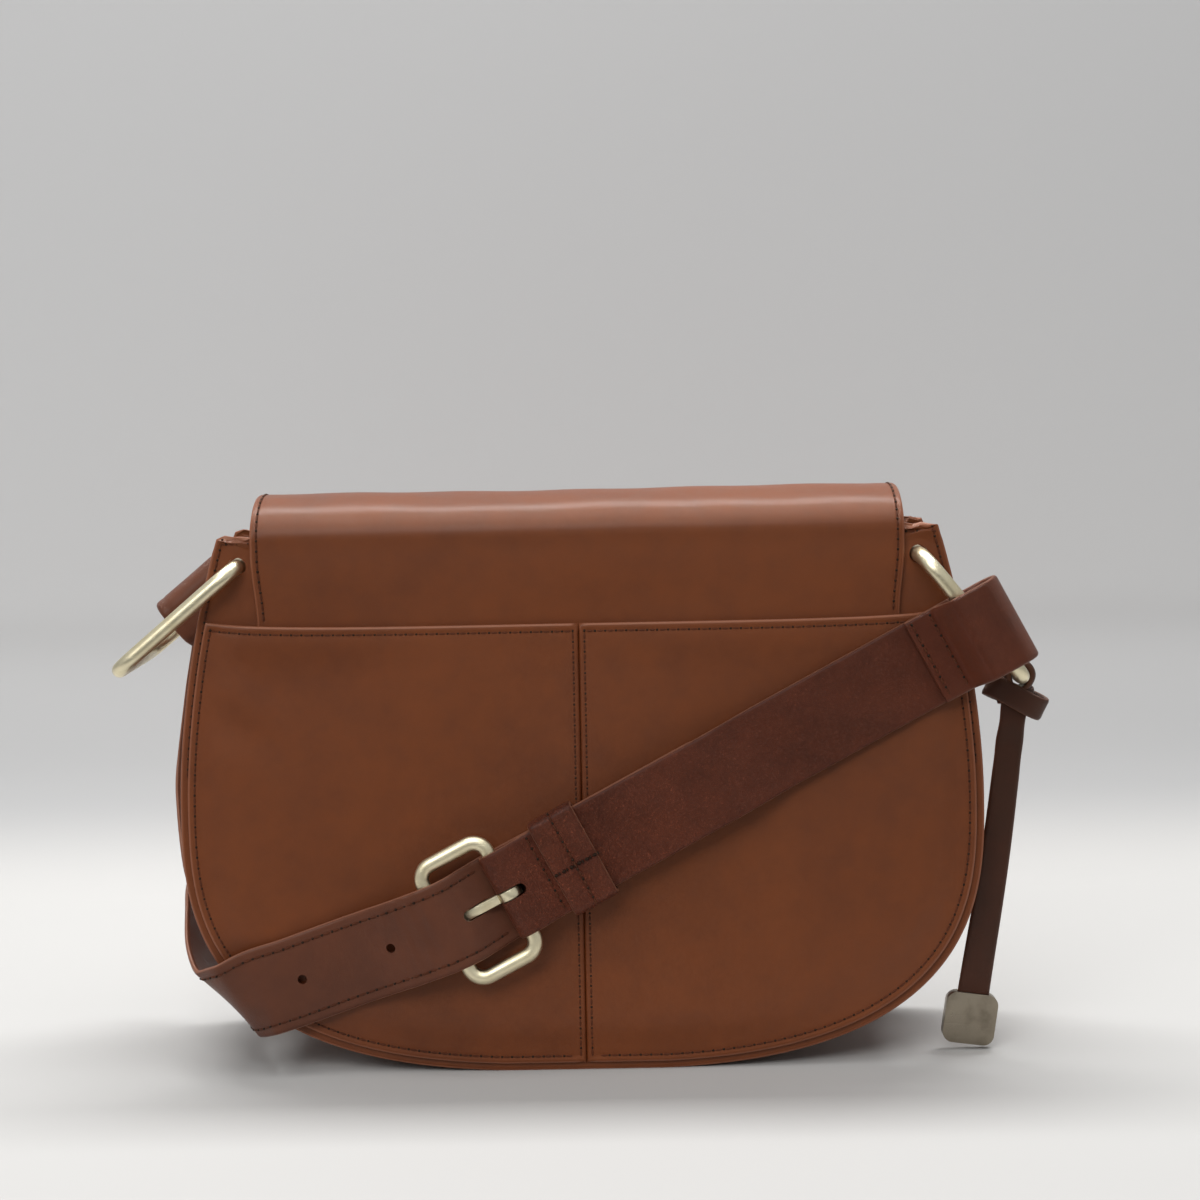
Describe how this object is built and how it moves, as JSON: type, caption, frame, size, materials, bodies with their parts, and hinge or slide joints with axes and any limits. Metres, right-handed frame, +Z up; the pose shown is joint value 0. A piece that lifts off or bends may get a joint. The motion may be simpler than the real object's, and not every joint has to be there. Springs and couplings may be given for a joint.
{
  "type": "crossbody bag",
  "caption": "Saddle-shaped leather shoulder bag with a fold-over flap, back slip pocket, side rings and a buckled strap wrapped across its back; flap, rings, prong, keeper and tag move.",
  "frame": {"origin": "midway between the feet of the back and front panels, on the plane the bag stands on", "axes": "+Z up; +X to the right when looking at the bag's back; the back with its slip pocket faces -Y and the flap's front faces +Y"},
  "size_m": [0.3381, 0.1034, 0.208],
  "materials": {
    "body_leather": "smooth tan-brown vegetable-tanned leather with a soft sheen and painted edges",
    "strap_leather": "red-brown pebbled strap leather with pale cut edges",
    "lining_cloth": "plain woven lining cloth",
    "stiff_board": "cloth-faced stiffening board",
    "pale_brass": "satin pale gold plating with fine scratches",
    "satin_nickel": "satin aged nickel"
  },
  "bodies": {
    "bag": {"back_panel": "body_leather", "front_panel": "body_leather", "gusset_left": "body_leather", "gusset_base": "body_leather", "gusset_right": "body_leather", "pocket_left": "body_leather", "pocket_right": "body_leather", "facing_back": "body_leather", "facing_front": "body_leather", "lining": "lining_cloth", "inner_pocket": "lining_cloth", "base_board": "stiff_board", "flap_tail": "body_leather", "snap_female": "pale_brass", "snap_washer": "satin_nickel", "strap_buckle_end": "strap_leather", "strap_punched_end": "strap_leather", "buckle_frame": "pale_brass"},
    "flap": {"flap": "body_leather", "flap_lining": "lining_cloth", "snap_male": "pale_brass"},
    "left_ring": {"ring_left": "pale_brass"},
    "right_ring": {"ring_right": "pale_brass"},
    "tag": {"tag_thong": "strap_leather", "tag_fob": "satin_nickel"},
    "prong": {"buckle_prong": "pale_brass"},
    "strap_keeper": {"keeper": "strap_leather"}
  },
  "joints": [
    {"name": "flap_open", "type": "hinge", "parent": "bag", "child": "flap", "pos_m": [0, -0.02295, 0.19], "axis": [1, 0, 0], "range_deg": [0, 150]},
    {"name": "ring_left_swing", "type": "hinge", "parent": "bag", "child": "left_ring", "pos_m": [-0.1229, 0, 0.1833], "axis": [0, 1, 0], "range_deg": [0, 7]},
    {"name": "ring_right_swing", "type": "hinge", "parent": "bag", "child": "right_ring", "pos_m": [0.1229, 0, 0.1833], "axis": [0, -1, 0], "range_deg": [0, 2]},
    {"name": "tag_swing", "type": "hinge", "parent": "right_ring", "child": "tag", "pos_m": [0.15877, -0.022, 0.139], "axis": [0, -1, 0], "range_deg": [-3, 25]},
    {"name": "prong_pivot", "type": "hinge", "parent": "bag", "child": "prong", "pos_m": [-0.026, -0.04327, 0.06685], "axis": [0.4664, -0.0772, -0.8812], "range_deg": [0, 3]},
    {"name": "keeper_slide", "type": "slide", "parent": "bag", "child": "strap_keeper", "axis": [0.8846, 0.0407, 0.4646], "range_m": [0, 0.04]}
  ]
}
